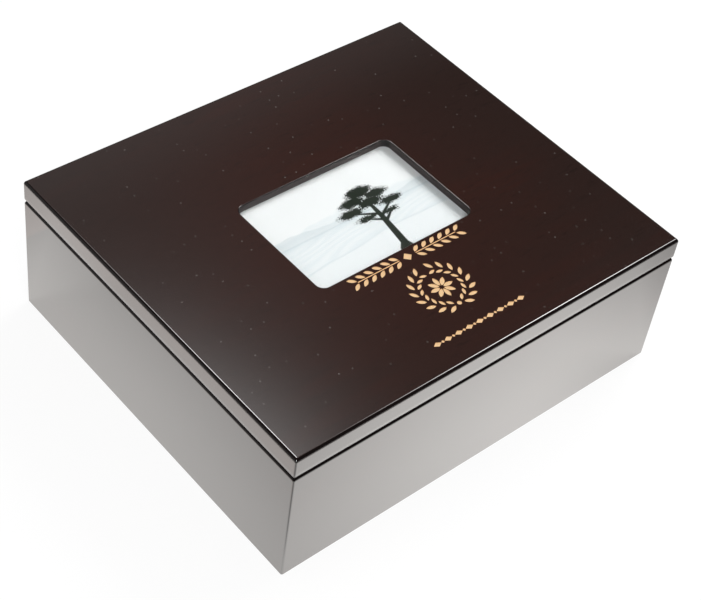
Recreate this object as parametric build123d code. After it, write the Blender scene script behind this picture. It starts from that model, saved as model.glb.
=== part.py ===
"""Keepsake box: lacquered case, hinged lid with a photo window, velvet lining.

Millimetres, +Z up.  X runs along the front, -Y is the front, +Y is the hinge side.
The origin is the centre of the underside, where the base felt meets the table.
"""
from build123d import *
from math import cos, radians, sin, sqrt
import os

os.makedirs("parts", exist_ok=True)

# ------------------------------------------------------------------ driving dimensions
# Outside of the closed box, felt included
box_width = 303.5
box_depth = 263.2
box_height = 103.0
wall = 10.0
edge_round = 2.0
corner_ease = 1.2
foot_ease = 0.4
lid_gap = 0.5

# Case
felt_thickness = 1.0
felt_inset = 3.0
felt_fit = 0.1
foot_clearance = 0.2
bottom_thickness = 5.0
bottom_rebate = 5.0
bottom_fit = 0.1
lining_thickness = 1.6
lining_reveal = 7.0
lining_fit = 0.3
floor_pad_thickness = 2.4
bumper_radius = 3.5
bumper_from_corner = 18.0

# Lid
lid_panel_thickness = 5.0
lid_rail_height = 10.7
lid_lining_thickness = 2.5

# Photo and the pocket that holds it
photo_width = 127.0
photo_height = 88.9
photo_overlap = 3.175
photo_thickness = 0.3
window_corner = 5.5
window_ease = 0.8
glass_thickness = 2.0
glass_margin = 0.6
backing_thickness = 3.0
pocket_fit = 0.3
pocket_strip_width = 10.0

# Turn buttons behind the photo
button_length = 18.0
button_width = 8.0
button_thickness = 1.0
button_clearance = 0.1
button_screw_radius = 1.2
button_screw_length = 4.6
button_head_radius = 2.6
button_head_height = 1.2

# Stop hinges
hinge_length = 38.0
hinge_from_end = 55.0
hinge_knuckles = 5
hinge_leaf_inset = 1.8
hinge_leaf_thickness = 0.9
hinge_side_fit = 0.1
hinge_stop_angle = 95.0
hinge_stop_clearance_angle = 1.0
stop_lug_reach = 1.3
stop_lug_sweep_angle = 30.0
pin_radius = 1.0
pin_end = 0.6
knuckle_gap = 0.15
knuckle_to_wood = 0.3
screw_shank_radius = 1.0
screw_head_radius = 1.9
screw_length = 8.0
screw_pitch = 13.0

# Fits
running_fit = 0.05
seated_fit = 0.02

# How far a through cut runs past the wood or brass
cut_overrun = 1.0

# Recesses of the screw heads
recess_width = 0.6
recess_depth = 0.5

# Engraved ornament on the lid (angles in degrees, the wreath's from +X)
engraving_depth = 0.3
stem_gap = 0.9
stem_width = 0.7
leaf_length = 6.6
leaf_width = 2.6
leaf_lean_angle = 38.0
garland_length = 88.0
garland_below_window = 7.0
garland_pairs = 6
garland_diamond = 6.4
wreath_radius = 15.5
wreath_below_garland = 30.5
wreath_pairs = 8
wreath_foot_angle = -78.0
wreath_tip_angle = 66.0
inner_leaf_length = 5.0
inner_leaf_width = 2.1
tie_radius = 1.5
petal_length = 7.2
petal_width = 3.0
petal_count = 8
petal_gap = 1.3
beads_length = 66.0
beads_below_wreath = 33.0
lozenge_count = 9
lozenge_length = 6.0
lozenge_width = 3.6
bead_radius = 0.9

# Angles of a turn
quarter_turn_angle = 90.0
half_turn_angle = 2 * quarter_turn_angle
full_turn_angle = 4 * quarter_turn_angle

# ------------------------------------------------------------------ derived places
half_width = box_width / 2
half_depth = box_depth / 2
case_bottom_z = foot_clearance
lid_height = lid_panel_thickness + lid_rail_height
lid_bottom_z = box_height - lid_height
rim_z = lid_bottom_z - lid_gap
panel_bottom_z = box_height - lid_panel_thickness
cavity_width = box_width - 2 * wall
cavity_depth = box_depth - 2 * wall
floor_z = felt_thickness + bottom_thickness
pad_top_z = floor_z + floor_pad_thickness
lining_top_z = rim_z - lining_reveal

window_width = photo_width - 2 * photo_overlap
window_height = photo_height - 2 * photo_overlap
glass_width = photo_width + 2 * glass_margin
glass_height = photo_height + 2 * glass_margin
pocket_width = glass_width + 2 * pocket_fit
pocket_height = glass_height + 2 * pocket_fit
glass_bottom_z = panel_bottom_z - glass_thickness
photo_bottom_z = glass_bottom_z - photo_thickness
backing_bottom_z = photo_bottom_z - backing_thickness
strips_width = pocket_width + 2 * pocket_strip_width
strips_height = pocket_height + 2 * pocket_strip_width

knuckle_radius = pin_radius + hinge_leaf_thickness
stop_lug_radius = knuckle_radius + stop_lug_reach
hinge_z = rim_z + lid_gap / 2
rim_round_z = lid_gap / 2 + edge_round
knuckle_stand = edge_round + knuckle_radius + knuckle_to_wood
hinge_behind = sqrt(knuckle_stand**2 - rim_round_z**2) - edge_round
hinge_y = half_depth + hinge_behind
leaf_reach = hinge_behind + wall - hinge_leaf_inset
hinge_x = half_width - hinge_from_end
screw_y = half_depth - wall / 2
button_pivot_from_end = button_width / 2

BACK, FRONT, LEFT, RIGHT = "back", "front", "left", "right"
SIDES = (FRONT, BACK, LEFT, RIGHT)


# ------------------------------------------------------------------ small helpers
def slab(low, high):
    """Plain block between two opposite corners."""
    size = [b - a for a, b in zip(low, high)]
    middle = [(a + b) / 2 for a, b in zip(low, high)]
    return Pos(*middle) * Box(*size)


def centred_slab(width, depth, bottom, top):
    """Block centred on the Z axis between two heights."""
    return slab((-width / 2, -depth / 2, bottom), (width / 2, depth / 2, top))


def write(node, shape):
    """Write one sub-part to parts/NODE.step."""
    shape.label = node
    export_step(shape, f"parts/{node}.step")


def eased_blank(bottom, top, crisp_foot=False):
    """Block of the full footprint with rounded rims and eased corners; a crisp foot is only eased."""
    blank = centred_slab(box_width, box_depth, bottom, top)
    rims = blank.faces().sort_by(Axis.Z)[-1].edges()
    if not crisp_foot:
        rims += blank.faces().sort_by(Axis.Z)[0].edges()
    blank = fillet(rims, edge_round)
    blank = fillet(blank.edges().filter_by(Axis.Z), corner_ease)
    if crisp_foot:
        blank = fillet(blank.faces().sort_by(Axis.Z)[0].edges(), foot_ease)
    return blank


def mitre_wedge(side, bottom, top):
    """Prism that keeps one side of a frame, cut at 45 degrees at both ends."""
    long_half = half_width if side in (FRONT, BACK) else half_depth
    out = half_depth if side in (FRONT, BACK) else half_width
    spare = wall
    outline = Polyline(
        (-long_half - spare, -out - spare),
        (long_half + spare, -out - spare),
        (long_half - wall, -out + wall),
        (-long_half + wall, -out + wall),
        close=True,
    )
    turn = quarter_turn_angle * (FRONT, RIGHT, BACK, LEFT).index(side)
    return Pos(0, 0, bottom) * Rot(0, 0, turn) * extrude(make_face(outline), top - bottom)


# ------------------------------------------------------------------ case
def case_walls():
    """Four mitred walls, rebated inside at the foot for the bottom panel and under it for the felt."""
    blank = eased_blank(case_bottom_z, rim_z, crisp_foot=True)
    blank -= centred_slab(cavity_width, cavity_depth, case_bottom_z, rim_z)
    rebate = centred_slab(
        cavity_width + 2 * bottom_rebate,
        cavity_depth + 2 * bottom_rebate,
        case_bottom_z,
        floor_z,
    )
    blank -= rebate
    felt_width, felt_depth = felt_size()
    blank -= centred_slab(
        felt_width + 2 * felt_fit, felt_depth + 2 * felt_fit, case_bottom_z, felt_thickness
    )
    walls = {side: blank & mitre_wedge(side, case_bottom_z, rim_z) for side in SIDES}
    walls[BACK] -= hinge_mortises(rim_z - hinge_leaf_thickness, rim_z)
    walls[BACK] -= screw_holes(rim_z, down=True)
    return walls


def bottom_panel():
    """Panel glued into the rebate of the walls."""
    width = cavity_width + 2 * (bottom_rebate - bottom_fit)
    depth = cavity_depth + 2 * (bottom_rebate - bottom_fit)
    return centred_slab(width, depth, felt_thickness, floor_z)


def felt_size():
    """Width and depth of the felt, set in from the outside of the walls."""
    return box_width - 2 * felt_inset, box_depth - 2 * felt_inset


def base_felt():
    """Felt sheet glued into a shallow recess under the case."""
    return centred_slab(*felt_size(), 0, felt_thickness)


def case_linings():
    """Velvet-covered boards on the inner faces of the walls, and the floor pad."""
    x = cavity_width / 2
    y = cavity_depth / 2
    inner_x = x - lining_thickness
    inner_y = y - lining_thickness
    side_y = inner_y - lining_fit
    linings = {
        FRONT: slab((-x, -y, floor_z), (x, -inner_y, lining_top_z)),
        BACK: slab((-x, inner_y, floor_z), (x, y, lining_top_z)),
        LEFT: slab((-x, -side_y, floor_z), (-inner_x, side_y, lining_top_z)),
        RIGHT: slab((inner_x, -side_y, floor_z), (x, side_y, lining_top_z)),
    }
    pad_width = 2 * (inner_x - lining_fit)
    pad_depth = 2 * (inner_y - lining_fit)
    linings["floor"] = centred_slab(pad_width, pad_depth, floor_z, pad_top_z)
    return linings


def lid_bumpers():
    """Two thin discs on the front rim that the lid closes onto."""
    x = half_width - bumper_from_corner
    y = -half_depth + wall / 2
    disc = Cylinder(bumper_radius, lid_gap)
    return Part() + [Pos(side * x, y, hinge_z) * disc for side in (-1, 1)]


# ------------------------------------------------------------------ hinges
def hinge_centres():
    """X positions of the two hinges."""
    return {LEFT: -hinge_x, RIGHT: hinge_x}


def hinge_mortises(bottom, top):
    """Shallow recesses that take the leaves, open to the back."""
    length = hinge_length + 2 * hinge_side_fit
    front = hinge_y - leaf_reach
    return Part() + [
        slab((x - length / 2, front, bottom), (x + length / 2, half_depth + wall, top))
        for x in hinge_centres().values()
    ]


def screw_spots():
    """Plan positions of the leaf screws, three to a leaf."""
    return [
        (x + step * screw_pitch, screw_y)
        for x in hinge_centres().values()
        for step in (-1, 0, 1)
    ]


def cross_recess(radius):
    """Cross-shaped driver recess, with its mouth on the plane Z = 0."""
    bar = (2 * radius, recess_width, 2 * recess_depth)
    return Box(*bar) + Rot(0, 0, quarter_turn_angle) * Box(*bar)


def leaf_screw(shrink, flip):
    """Countersunk screw, head face at Z = 0, shank pointing down or up."""
    head = Pos(0, 0, -hinge_leaf_thickness / 2) * Cone(
        screw_shank_radius - shrink, screw_head_radius - shrink, hinge_leaf_thickness
    )
    tip = screw_shank_radius
    straight = screw_length - hinge_leaf_thickness - tip
    shank_z = -hinge_leaf_thickness - straight / 2
    shank = Pos(0, 0, shank_z) * Cylinder(screw_shank_radius - shrink, straight)
    point_z = -screw_length + tip / 2
    point = Pos(0, 0, point_z) * Cone(tip / 4, screw_shank_radius - shrink, tip)
    screw = head + shank + point
    return Rot(half_turn_angle, 0, 0) * screw if flip else screw


def screw_holes(face_z, down):
    """Pilot holes of every leaf screw below or above one leaf face."""
    hole = leaf_screw(0, flip=not down)
    return Part() + [Pos(x, y, face_z) * hole for x, y in screw_spots()]


def leaf_screws(face_z, down):
    """The screws of the two leaves on one side of the joint."""
    screw = leaf_screw(seated_fit, flip=False) - cross_recess(screw_head_radius * 0.6)
    if not down:
        screw = Rot(half_turn_angle, 0, 0) * screw
    return Part() + [Pos(x, y, face_z) * screw for x, y in screw_spots()]


def sector(inner, outer, start, sweep):
    """Ring sector in the plane of the hinge's section, angles from +Y towards +Z."""
    a, b = radians(start), radians(start + sweep)
    middle = (a + b) / 2
    near = ThreePointArc(
        (inner * cos(a), inner * sin(a)),
        (inner * cos(middle), inner * sin(middle)),
        (inner * cos(b), inner * sin(b)),
    )
    far = ThreePointArc(
        (outer * cos(b), outer * sin(b)),
        (outer * cos(middle), outer * sin(middle)),
        (outer * cos(a), outer * sin(a)),
    )
    return make_face(Wire([near, Line(near @ 1, far @ 0), far, Line(far @ 1, near @ 0)]))


def along_hinge(section, start, end):
    """Extrude a YZ section drawn about the pin's axis from x = start to x = end."""
    plane = Plane(origin=(start, hinge_y, hinge_z), x_dir=(0, 1, 0), z_dir=(1, 0, 0))
    return extrude(plane * section, end - start)


def hinge_leaf(x, case_side):
    """One leaf: flat plate, its knuckles, and the lug that stops the lid."""
    pitch = hinge_length / hinge_knuckles
    start = x - hinge_length / 2
    sign = -1 if case_side else 1
    face = sign * lid_gap / 2
    back = sign * (lid_gap / 2 + hinge_leaf_thickness)
    low, high = min(face, back), max(face, back)
    clear_radius = knuckle_radius + knuckle_gap
    plate_end = -sqrt(clear_radius**2 - (lid_gap / 2) ** 2)
    plate_middle = (low + high) / 2
    plate_depth = leaf_reach + plate_end
    plate = Pos((plate_end - leaf_reach) / 2, plate_middle) * Rectangle(
        plate_depth, high - low
    )
    leaf = along_hinge(plate, start, start + hinge_length)

    stop_face = (hinge_stop_angle + hinge_stop_clearance_angle) / 2
    lug_start = -stop_face - stop_lug_sweep_angle if case_side else stop_face
    lug = sector(clear_radius, stop_lug_radius, lug_start, stop_lug_sweep_angle)
    leaf += along_hinge(lug, start, start + hinge_length)

    bore = pin_radius + (seated_fit if case_side else running_fit)
    root_start = -(knuckle_radius + bore) / 2
    root_depth = root_start - plate_end
    root = Pos(plate_end + root_depth / 2, plate_middle) * Rectangle(root_depth, high - low)
    root = root + Circle(knuckle_radius)
    root = root + sector(bore, stop_lug_radius, lug_start, stop_lug_sweep_angle)
    for index in range(hinge_knuckles):
        if (index % 2 == 0) != case_side:
            continue
        left = start + index * pitch + (knuckle_gap / 2 if index else 0)
        last = index == hinge_knuckles - 1
        right = start + (index + 1) * pitch - (0 if last else knuckle_gap / 2)
        leaf += along_hinge(root, left, right)
    leaf -= along_hinge(Circle(bore), start - cut_overrun, start + hinge_length + cut_overrun)
    face_z = hinge_z + face
    return leaf - screw_holes(face_z, down=case_side)


def hinge_pin(x):
    """Pin through the knuckles, with rounded ends."""
    length = hinge_length + 2 * pin_end
    pin = Pos(x, hinge_y, hinge_z) * Rot(0, quarter_turn_angle, 0) * Cylinder(pin_radius, length)
    return fillet(pin.edges().filter_by(GeomType.CIRCLE), pin_end * 0.9)


# ------------------------------------------------------------------ engraved ornament
def leaf_shape(length, width):
    """Pointed leaf along +X from the origin: two arcs that meet at its tips."""
    base, tip = (0, 0), (length, 0)
    upper = ThreePointArc(base, (length / 2, width / 2), tip)
    lower = ThreePointArc(tip, (length / 2, -width / 2), base)
    return make_face(Wire([upper, lower]))


def lozenge(length, width):
    """Four-sided diamond centred on the origin."""
    corners = ((-length / 2, 0), (0, -width / 2), (length / 2, 0), (0, width / 2))
    return make_face(Polyline(*corners, close=True))


def leaf_pair(left_length, left_width):
    """Two leaves from one point of a stem that runs along +X; the right one is full size."""
    left = Pos(0, stem_gap) * Rot(0, 0, leaf_lean_angle) * leaf_shape(left_length, left_width)
    right = Pos(0, -stem_gap) * Rot(0, 0, -leaf_lean_angle) * leaf_shape(leaf_length, leaf_width)
    return left, right


def garland():
    """Straight garland: leaf pairs that lean away from a middle diamond."""
    first = garland_diamond
    run = garland_length / 2 - first - leaf_length * cos(radians(leaf_lean_angle))
    marks = [lozenge(garland_diamond, garland_diamond)]
    for direction in (0, half_turn_angle):
        turn = Rot(0, 0, direction)
        for index in range(garland_pairs):
            x = first + run * index / (garland_pairs - 1)
            marks += [turn * Pos(x, 0) * leaf for leaf in leaf_pair(leaf_length, leaf_width)]
        marks.append(turn * Pos(first + run / 2, 0) * Rectangle(run, stem_width))
    return marks


def wreath():
    """Two rising branches of leaf pairs, tied at the foot, around a rosette."""
    marks = [Pos(0, -wreath_radius) * Circle(tie_radius)]
    for index in range(wreath_pairs):
        angle = wreath_foot_angle + (wreath_tip_angle - wreath_foot_angle) * index / (wreath_pairs - 1)
        across, up = cos(radians(angle)), sin(radians(angle))
        growth = Pos(wreath_radius * across, wreath_radius * up) * Rot(0, 0, angle + quarter_turn_angle)
        for leaf in leaf_pair(inner_leaf_length, inner_leaf_width):
            marks += [growth * leaf, mirror(growth * leaf, Plane.YZ)]
    petal = leaf_shape(petal_length, petal_width)
    for index in range(petal_count):
        marks.append(Rot(0, 0, full_turn_angle * index / petal_count) * Pos(petal_gap, 0) * petal)
    return marks


def beads():
    """Row of lozenges with a round bead between each pair."""
    step = beads_length / (lozenge_count - 1)
    places = [-beads_length / 2 + step * index for index in range(lozenge_count)]
    marks = [Pos(x, 0) * lozenge(lozenge_length, lozenge_width) for x in places]
    return marks + [Pos(x + step / 2, 0) * Circle(bead_radius) for x in places[:-1]]


def engraving():
    """All pockets of the ornament, cut down from the lid's top face."""
    garland_y = -window_height / 2 - garland_below_window
    wreath_y = garland_y - wreath_below_garland
    beads_y = wreath_y - beads_below_wreath
    groups = ((garland_y, garland()), (wreath_y, wreath()), (beads_y, beads()))
    floor = box_height - engraving_depth
    return [
        Pos(0, y, floor) * extrude(mark, 2 * engraving_depth, dir=(0, 0, 1))
        for y, marks in groups
        for mark in marks
    ]


# ------------------------------------------------------------------ lid
def lid_panel():
    """Top of the lid with the photo window and the engraved ornament."""
    blank = eased_blank(lid_bottom_z, box_height)
    panel = blank & centred_slab(2 * box_width, 2 * box_depth, panel_bottom_z, box_height)
    window = RectangleRounded(window_width, window_height, window_corner)
    panel -= Pos(0, 0, panel_bottom_z) * extrude(window, lid_panel_thickness)
    window_rim = panel.faces().sort_by(Axis.Z)[-1].inner_wires().edges()
    return fillet(window_rim, window_ease) - engraving()


def lid_rails():
    """Four mitred rails under the panel, flush with it all round."""
    blank = eased_blank(lid_bottom_z, box_height)
    blank &= centred_slab(2 * box_width, 2 * box_depth, lid_bottom_z, panel_bottom_z)
    blank -= centred_slab(cavity_width, cavity_depth, lid_bottom_z, panel_bottom_z)
    rails = {side: blank & mitre_wedge(side, lid_bottom_z, panel_bottom_z) for side in SIDES}
    rails[BACK] -= hinge_mortises(lid_bottom_z, lid_bottom_z + hinge_leaf_thickness)
    rails[BACK] -= screw_holes(lid_bottom_z, down=False)
    return rails


def pocket_strips():
    """Strips glued round the window that form the photo pocket."""
    x = pocket_width / 2
    y = pocket_height / 2
    far_x = strips_width / 2
    far_y = strips_height / 2
    low, high = backing_bottom_z, panel_bottom_z
    strips = {
        FRONT: slab((-far_x, -far_y, low), (far_x, -y, high)),
        BACK: slab((-far_x, y, low), (far_x, far_y, high)),
        LEFT: slab((-far_x, -y, low), (-x, y, high)),
        RIGHT: slab((x, -y, low), (far_x, y, high)),
    }
    holes = button_screw_holes()
    return {side: strip - holes for side, strip in strips.items()}


def photo_glass():
    """Clear pane against the underside of the lid panel."""
    return centred_slab(glass_width, glass_height, glass_bottom_z, panel_bottom_z)


def photo_print():
    """Print held flat behind the glass."""
    return centred_slab(photo_width, photo_height, photo_bottom_z, glass_bottom_z)


def backing_board():
    """Board that keeps the print and the glass in the pocket."""
    return centred_slab(glass_width, glass_height, backing_bottom_z, photo_bottom_z)


def lid_lining():
    """Velvet-covered board inside the lid, cut out round the photo pocket."""
    low = panel_bottom_z - lid_lining_thickness
    outer_width = cavity_width - 2 * lining_fit
    outer_depth = cavity_depth - 2 * lining_fit
    board = centred_slab(outer_width, outer_depth, low, panel_bottom_z)
    hole_width = strips_width + 2 * lining_fit
    hole_depth = strips_height + 2 * lining_fit
    return board - centred_slab(hole_width, hole_depth, low, panel_bottom_z)


# ------------------------------------------------------------------ turn buttons
def button_places():
    """Pivot of each turn button and the turn that points its wing at the photo."""
    x = pocket_width / 2 + pocket_strip_width / 2
    y = pocket_height / 2 + pocket_strip_width / 2
    places = {LEFT: (-x, 0), FRONT: (0, -y), RIGHT: (x, 0), BACK: (0, y)}
    return {
        side: (*place, quarter_turn_angle * index)
        for index, (side, place) in enumerate(places.items())
    }


def turn_button():
    """Flat wing with a round pivot hole near one end, top face at Z = 0."""
    middle = button_length / 2 - button_pivot_from_end
    outline = Pos(middle, 0) * SlotOverall(button_length, button_width)
    outline -= Circle(button_screw_radius + running_fit)
    plate = Pos(0, 0, -button_thickness) * extrude(outline, button_thickness)
    return chamfer(plate.faces().sort_by(Axis.Z)[0].outer_wire().edges(), button_thickness / 4)


def button_screw():
    """Domed screw through a button, with the head below and its seat at Z = 0."""
    play = 2 * button_clearance + button_thickness
    head_z = -play - button_head_height / 2
    head = Pos(0, 0, head_z) * Cylinder(button_head_radius, button_head_height)
    head = fillet(head.edges().sort_by(Axis.Z)[0], button_head_height * 0.6)
    shank_length = play + button_screw_length
    shank = Pos(0, 0, -play + shank_length / 2) * Cylinder(button_screw_radius, shank_length)
    mouth = Pos(0, 0, -play - button_head_height) * cross_recess(button_head_radius * 0.55)
    return head + shank - mouth


def button_screws():
    """One screw for each turn button."""
    screw = button_screw()
    spots = button_places().values()
    return Part() + [Pos(x, y, backing_bottom_z) * screw for x, y, turn in spots]


def button_screw_holes():
    """Pilot holes in the pocket strips."""
    depth = button_screw_length + seated_fit
    hole = Pos(0, 0, depth / 2) * Cylinder(button_screw_radius + seated_fit, depth)
    spots = button_places().values()
    return Part() + [Pos(x, y, backing_bottom_z) * hole for x, y, turn in spots]


# ------------------------------------------------------------------ write every node
def main():
    for side, board in case_walls().items():
        write(f"case_{side}", board)
    write("case_bottom", bottom_panel())
    write("base_felt", base_felt())
    for place, lining in case_linings().items():
        write(f"lining_{place}", lining)
    write("lid_bumpers", lid_bumpers())

    for side, x in hinge_centres().items():
        write(f"hinge_case_leaf_{side}", hinge_leaf(x, case_side=True))
        write(f"hinge_lid_leaf_{side}", hinge_leaf(x, case_side=False))
        write(f"hinge_pin_{side}", hinge_pin(x))
    write("hinge_case_screws", leaf_screws(rim_z, down=True))
    write("hinge_lid_screws", leaf_screws(lid_bottom_z, down=False))

    write("lid_panel", lid_panel())
    for side, rail in lid_rails().items():
        write(f"lid_rail_{side}", rail)
    for side, strip in pocket_strips().items():
        write(f"pocket_strip_{side}", strip)
    write("photo_glass", photo_glass())
    write("photo_print", photo_print())
    write("backing_board", backing_board())
    write("lid_lining", lid_lining())

    for side, (x, y, turn) in button_places().items():
        z = backing_bottom_z - button_clearance
        write(f"turn_button_{side}", Pos(x, y, z) * Rot(0, 0, turn) * turn_button())
    write("turn_button_screws", button_screws())


main()
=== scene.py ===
"""Keepsake box: lacquer, glazed print, velvet linings, brass fittings and the studio.

Metres, +Z up, in the frame of the packed part: X runs along the front, -Y is the front and
the origin is the centre of the underside.  The wooden, brass and glass parts keep their packed
shapes and get their finishes here.  The velvet linings and the print are new meshes.
"""
from math import radians

import bmesh
import bpy
import numpy as np
from bpy.props import FloatProperty, FloatVectorProperty, IntProperty, PointerProperty
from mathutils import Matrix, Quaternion, Vector


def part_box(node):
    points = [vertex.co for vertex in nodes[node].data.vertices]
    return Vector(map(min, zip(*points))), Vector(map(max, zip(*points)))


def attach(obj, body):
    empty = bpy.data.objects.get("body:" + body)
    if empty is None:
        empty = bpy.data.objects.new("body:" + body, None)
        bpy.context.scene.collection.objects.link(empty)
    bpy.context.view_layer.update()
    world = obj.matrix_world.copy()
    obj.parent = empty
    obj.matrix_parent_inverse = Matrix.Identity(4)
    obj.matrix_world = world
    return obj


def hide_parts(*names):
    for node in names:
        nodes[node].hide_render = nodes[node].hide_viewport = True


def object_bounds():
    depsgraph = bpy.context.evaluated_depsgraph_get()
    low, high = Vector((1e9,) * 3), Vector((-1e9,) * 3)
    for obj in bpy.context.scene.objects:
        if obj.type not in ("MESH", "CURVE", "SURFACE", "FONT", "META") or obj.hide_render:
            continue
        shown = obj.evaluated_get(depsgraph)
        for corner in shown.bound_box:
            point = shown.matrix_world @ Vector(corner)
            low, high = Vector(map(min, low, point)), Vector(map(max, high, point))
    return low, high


bl_info = {
    "name": "Keepsake Box",
    "version": (1, 0, 0),
    "blender": (4, 5, 0),
    "location": "3D View > Sidebar > Keepsake",
    "description": "Finishes, soft linings, print and studio of a lacquered keepsake box",
    "category": "Object",
}

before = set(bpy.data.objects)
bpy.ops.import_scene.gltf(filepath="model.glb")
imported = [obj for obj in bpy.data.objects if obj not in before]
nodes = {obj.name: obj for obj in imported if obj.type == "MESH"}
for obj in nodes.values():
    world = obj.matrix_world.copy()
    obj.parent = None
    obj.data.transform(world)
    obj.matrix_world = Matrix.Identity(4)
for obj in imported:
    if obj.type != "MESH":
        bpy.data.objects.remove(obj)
cad_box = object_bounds()

BLACK = (0.0, 0.0, 0.0)
WHITE = (1.0, 1.0, 1.0)
MILLIMETRE = 0.001
INWARD = {"front": 1, "back": -1, "left": 1, "right": -1}  # way from each wall into the case
SHARP_EDGE = radians(50)


def share(low, high, value):
    """Smooth step from 0 at low to 1 at high, on arrays."""
    t = np.clip((value - low) / (high - low), 0, 1)
    return t * t * (3 - 2 * t)


def toned(shade, by):
    """A colour with each of its parts times a number."""
    return tuple(part * by for part in shade)


# ------------------------------------------------------------------ settings
def colour(name, description, default):
    """A colour property in linear red, green and blue."""
    return FloatVectorProperty(
        name=name, description=description, default=default, subtype="COLOR", min=0, max=1
    )


def length(name, description, default):
    """A length property in metres."""
    return FloatProperty(
        name=name, description=description, default=default, min=0, unit="LENGTH", precision=5
    )


def factor(name, description, default):
    """A plain share from 0 to 1."""
    return FloatProperty(
        name=name, description=description, default=default, min=0, max=1, subtype="FACTOR"
    )


def number(name, description, default):
    """A plain number from 0 up."""
    return FloatProperty(name=name, description=description, default=default, min=0)


def spot(name, description, default):
    """A place or a reach in metres, with as many parts as its default."""
    return FloatVectorProperty(
        name=name, description=description, default=default, size=len(default), unit="LENGTH"
    )


class LacquerSettings(bpy.types.PropertyGroup):
    """Stain, clear coats and the bare wood of the engraving"""

    stain: colour("Stain", "Espresso stain under the clear coats", (0.0305, 0.0165, 0.0135))
    warm_stain: colour("Warm stain", "Redder stain in the open figure", (0.0560, 0.0152, 0.0098))
    heart_middle: spot("Heart", "Middle of the redder heart of the lid", (-0.015, -0.005))
    heart_reach: spot("Heart reach", "Reach of the redder heart", (0.110, 0.135))
    # Painted shade: how far the rounded edges are painted towards black, standing for the dark
    # they mirror
    painted_edge_shade: factor("Pooled", "How much darker the stain is on the rounded edges", 0.85)
    dust: colour("Dust", "Motes that lie on the upper face", (0.30, 0.27, 0.25))
    bare_wood: colour("Bare wood", "Floor of the engraved pockets", (0.94, 0.61, 0.30))
    gloss: FloatProperty(
        name="Gloss", description="Refractive index of the coats", default=2.75, min=1, max=4
    )
    roughness: factor("Roughness", "Haze of the polished surface", 0.08)
    buffed_to: length("Buffed to", "Height of the buffed strip over the lid's edge", 0.0044)
    buffing: number("Buffing", "Curvature of the buffed lower edge per metre", 55)
    strip_foot: length("Strip foot", "Depth under the top of the rim's leaning strip", 0.0022)
    strip_height: length("Strip height", "Height of the rim's leaning strip", 0.0014)
    strip_slope: number("Strip slope", "How far the strip leans back for its height", 0.45)
    engraving_depth: length("Engraving depth", "Depth of the pockets", 0.0003)
    engraving_half_width: length("Engraving half width", "Reach of the pockets", 0.046)
    engraving_back: length("Engraving back", "From the middle to the nearest pocket", 0.0435)
    window_half_width: length("Window half width", "From the middle to the window's side", 0.0606)
    window_half_depth: length("Window half depth", "From the middle to the window's end", 0.0416)
    window_ease: length("Window ease", "Height of the rounding round the window", 0.0001)


class LiningSettings(bpy.types.PropertyGroup):
    """Velvet over thin boards"""

    pile: colour("Pile", "Colour of the velvet", (0.0075, 0.0072, 0.0085))
    # Painted sheen: velvet colour painted lighter where the pile is taken to lean to the eye
    painted_sheen_pile: colour("Lit pile", "Velvet whose pile leans to the eye", (0.030, 0.029, 0.034))
    roll: length("Roll", "Radius at which the velvet turns over an edge", 0.0014)
    side: factor("Side", "Share of a pad's thickness that stands square at its edges", 0.5)
    crown: factor("Crown", "Share of the thickness that the middle stands over the edges", 0.22)
    hole_fit: length("Hole fit", "Gap between the lid lining and the pocket strips", 0.0003)


class PrintSettings(bpy.types.PropertyGroup):
    """Landscape print behind the glass"""

    paper: colour("Paper", "White of the print", (0.90, 0.915, 0.92))
    mist: colour("Mist", "Far hills and ripples", (0.66, 0.75, 0.79))
    near_hills: colour("Near hills", "Nearer ridge and the shore line", (0.52, 0.61, 0.65))
    tree: colour("Tree", "Trunk, branches and leaves", (0.016, 0.022, 0.015))
    columns: IntProperty(name="Columns", description="Cells across", default=330, min=10)
    rows: IntProperty(name="Rows", description="Cells from front to back", default=231, min=10)
    seat: length("Seat", "Gap between the print and its neighbours", 0.00003)


class FittingSettings(bpy.types.PropertyGroup):
    """Brass, felt, board and bumpers"""

    brass: colour("Brass", "Polished brass", (0.76, 0.53, 0.21))
    old_brass: colour("Old brass", "Brass where the lacquer has worn off", (0.42, 0.27, 0.10))
    felt: colour("Felt", "Base felt", (0.012, 0.013, 0.012))
    board: colour("Board", "Fibre board of the bottom and the backing", (0.20, 0.125, 0.07))
    bumper: colour("Bumper", "Soft discs under the lid", (0.10, 0.095, 0.09))


class StudioSettings(bpy.types.PropertyGroup):
    """Camera, floor, lamps and what the gloss mirrors"""

    camera_at: spot("Camera", "Place of the camera", (-0.54569, -0.53166, 0.79228))
    camera_forward: FloatVectorProperty(
        name="View",
        description="Direction of the camera",
        default=(0.50829, 0.48860, -0.70916),
        subtype="DIRECTION",
    )
    camera_roll: FloatProperty(
        name="Roll", description="Turn about the view", default=radians(-8.6), subtype="ANGLE"
    )
    lens: FloatProperty(
        name="Lens", description="Focal length in millimetres", default=86.65, min=1
    )
    ambient: number("Ambient", "Even light from all round", 0.38)
    key: number("Key", "Power of the right-hand lamp in watts", 17.5)
    fill: number("Fill", "Power of the lamp over the camera in watts", 18)
    floor_glow: factor("Floor glow", "Part of the floor's white that is its own", 0.86)
    floor_lit: factor("Floor lit", "How much light the floor gives back besides", 0.16)
    mirror_tint: colour("Mirror tint", "Tint of the floor in the gloss", (1.0, 0.975, 0.95))
    far_tint: colour("Far tint", "Tint of the mirrored floor farther left", (1.0, 0.915, 0.875))
    dark_room: colour("Dark room", "What the gloss mirrors above the floor", (0.010, 0.009, 0.009))
    right_box: number("Right box", "Core of the right-hand soft box", 5.5)
    left_box: number("Left box", "Cores of the two soft boxes behind on the left", 2.15)
    near_box: number("Near box", "Core of the soft box by the camera", 14.8)
    left_glow: number("Left glow", "Faint glow between the back wall and the left boxes", 0.024)
    back_wall: number("Back wall", "Faint light of the wall behind", 0.042)


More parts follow.
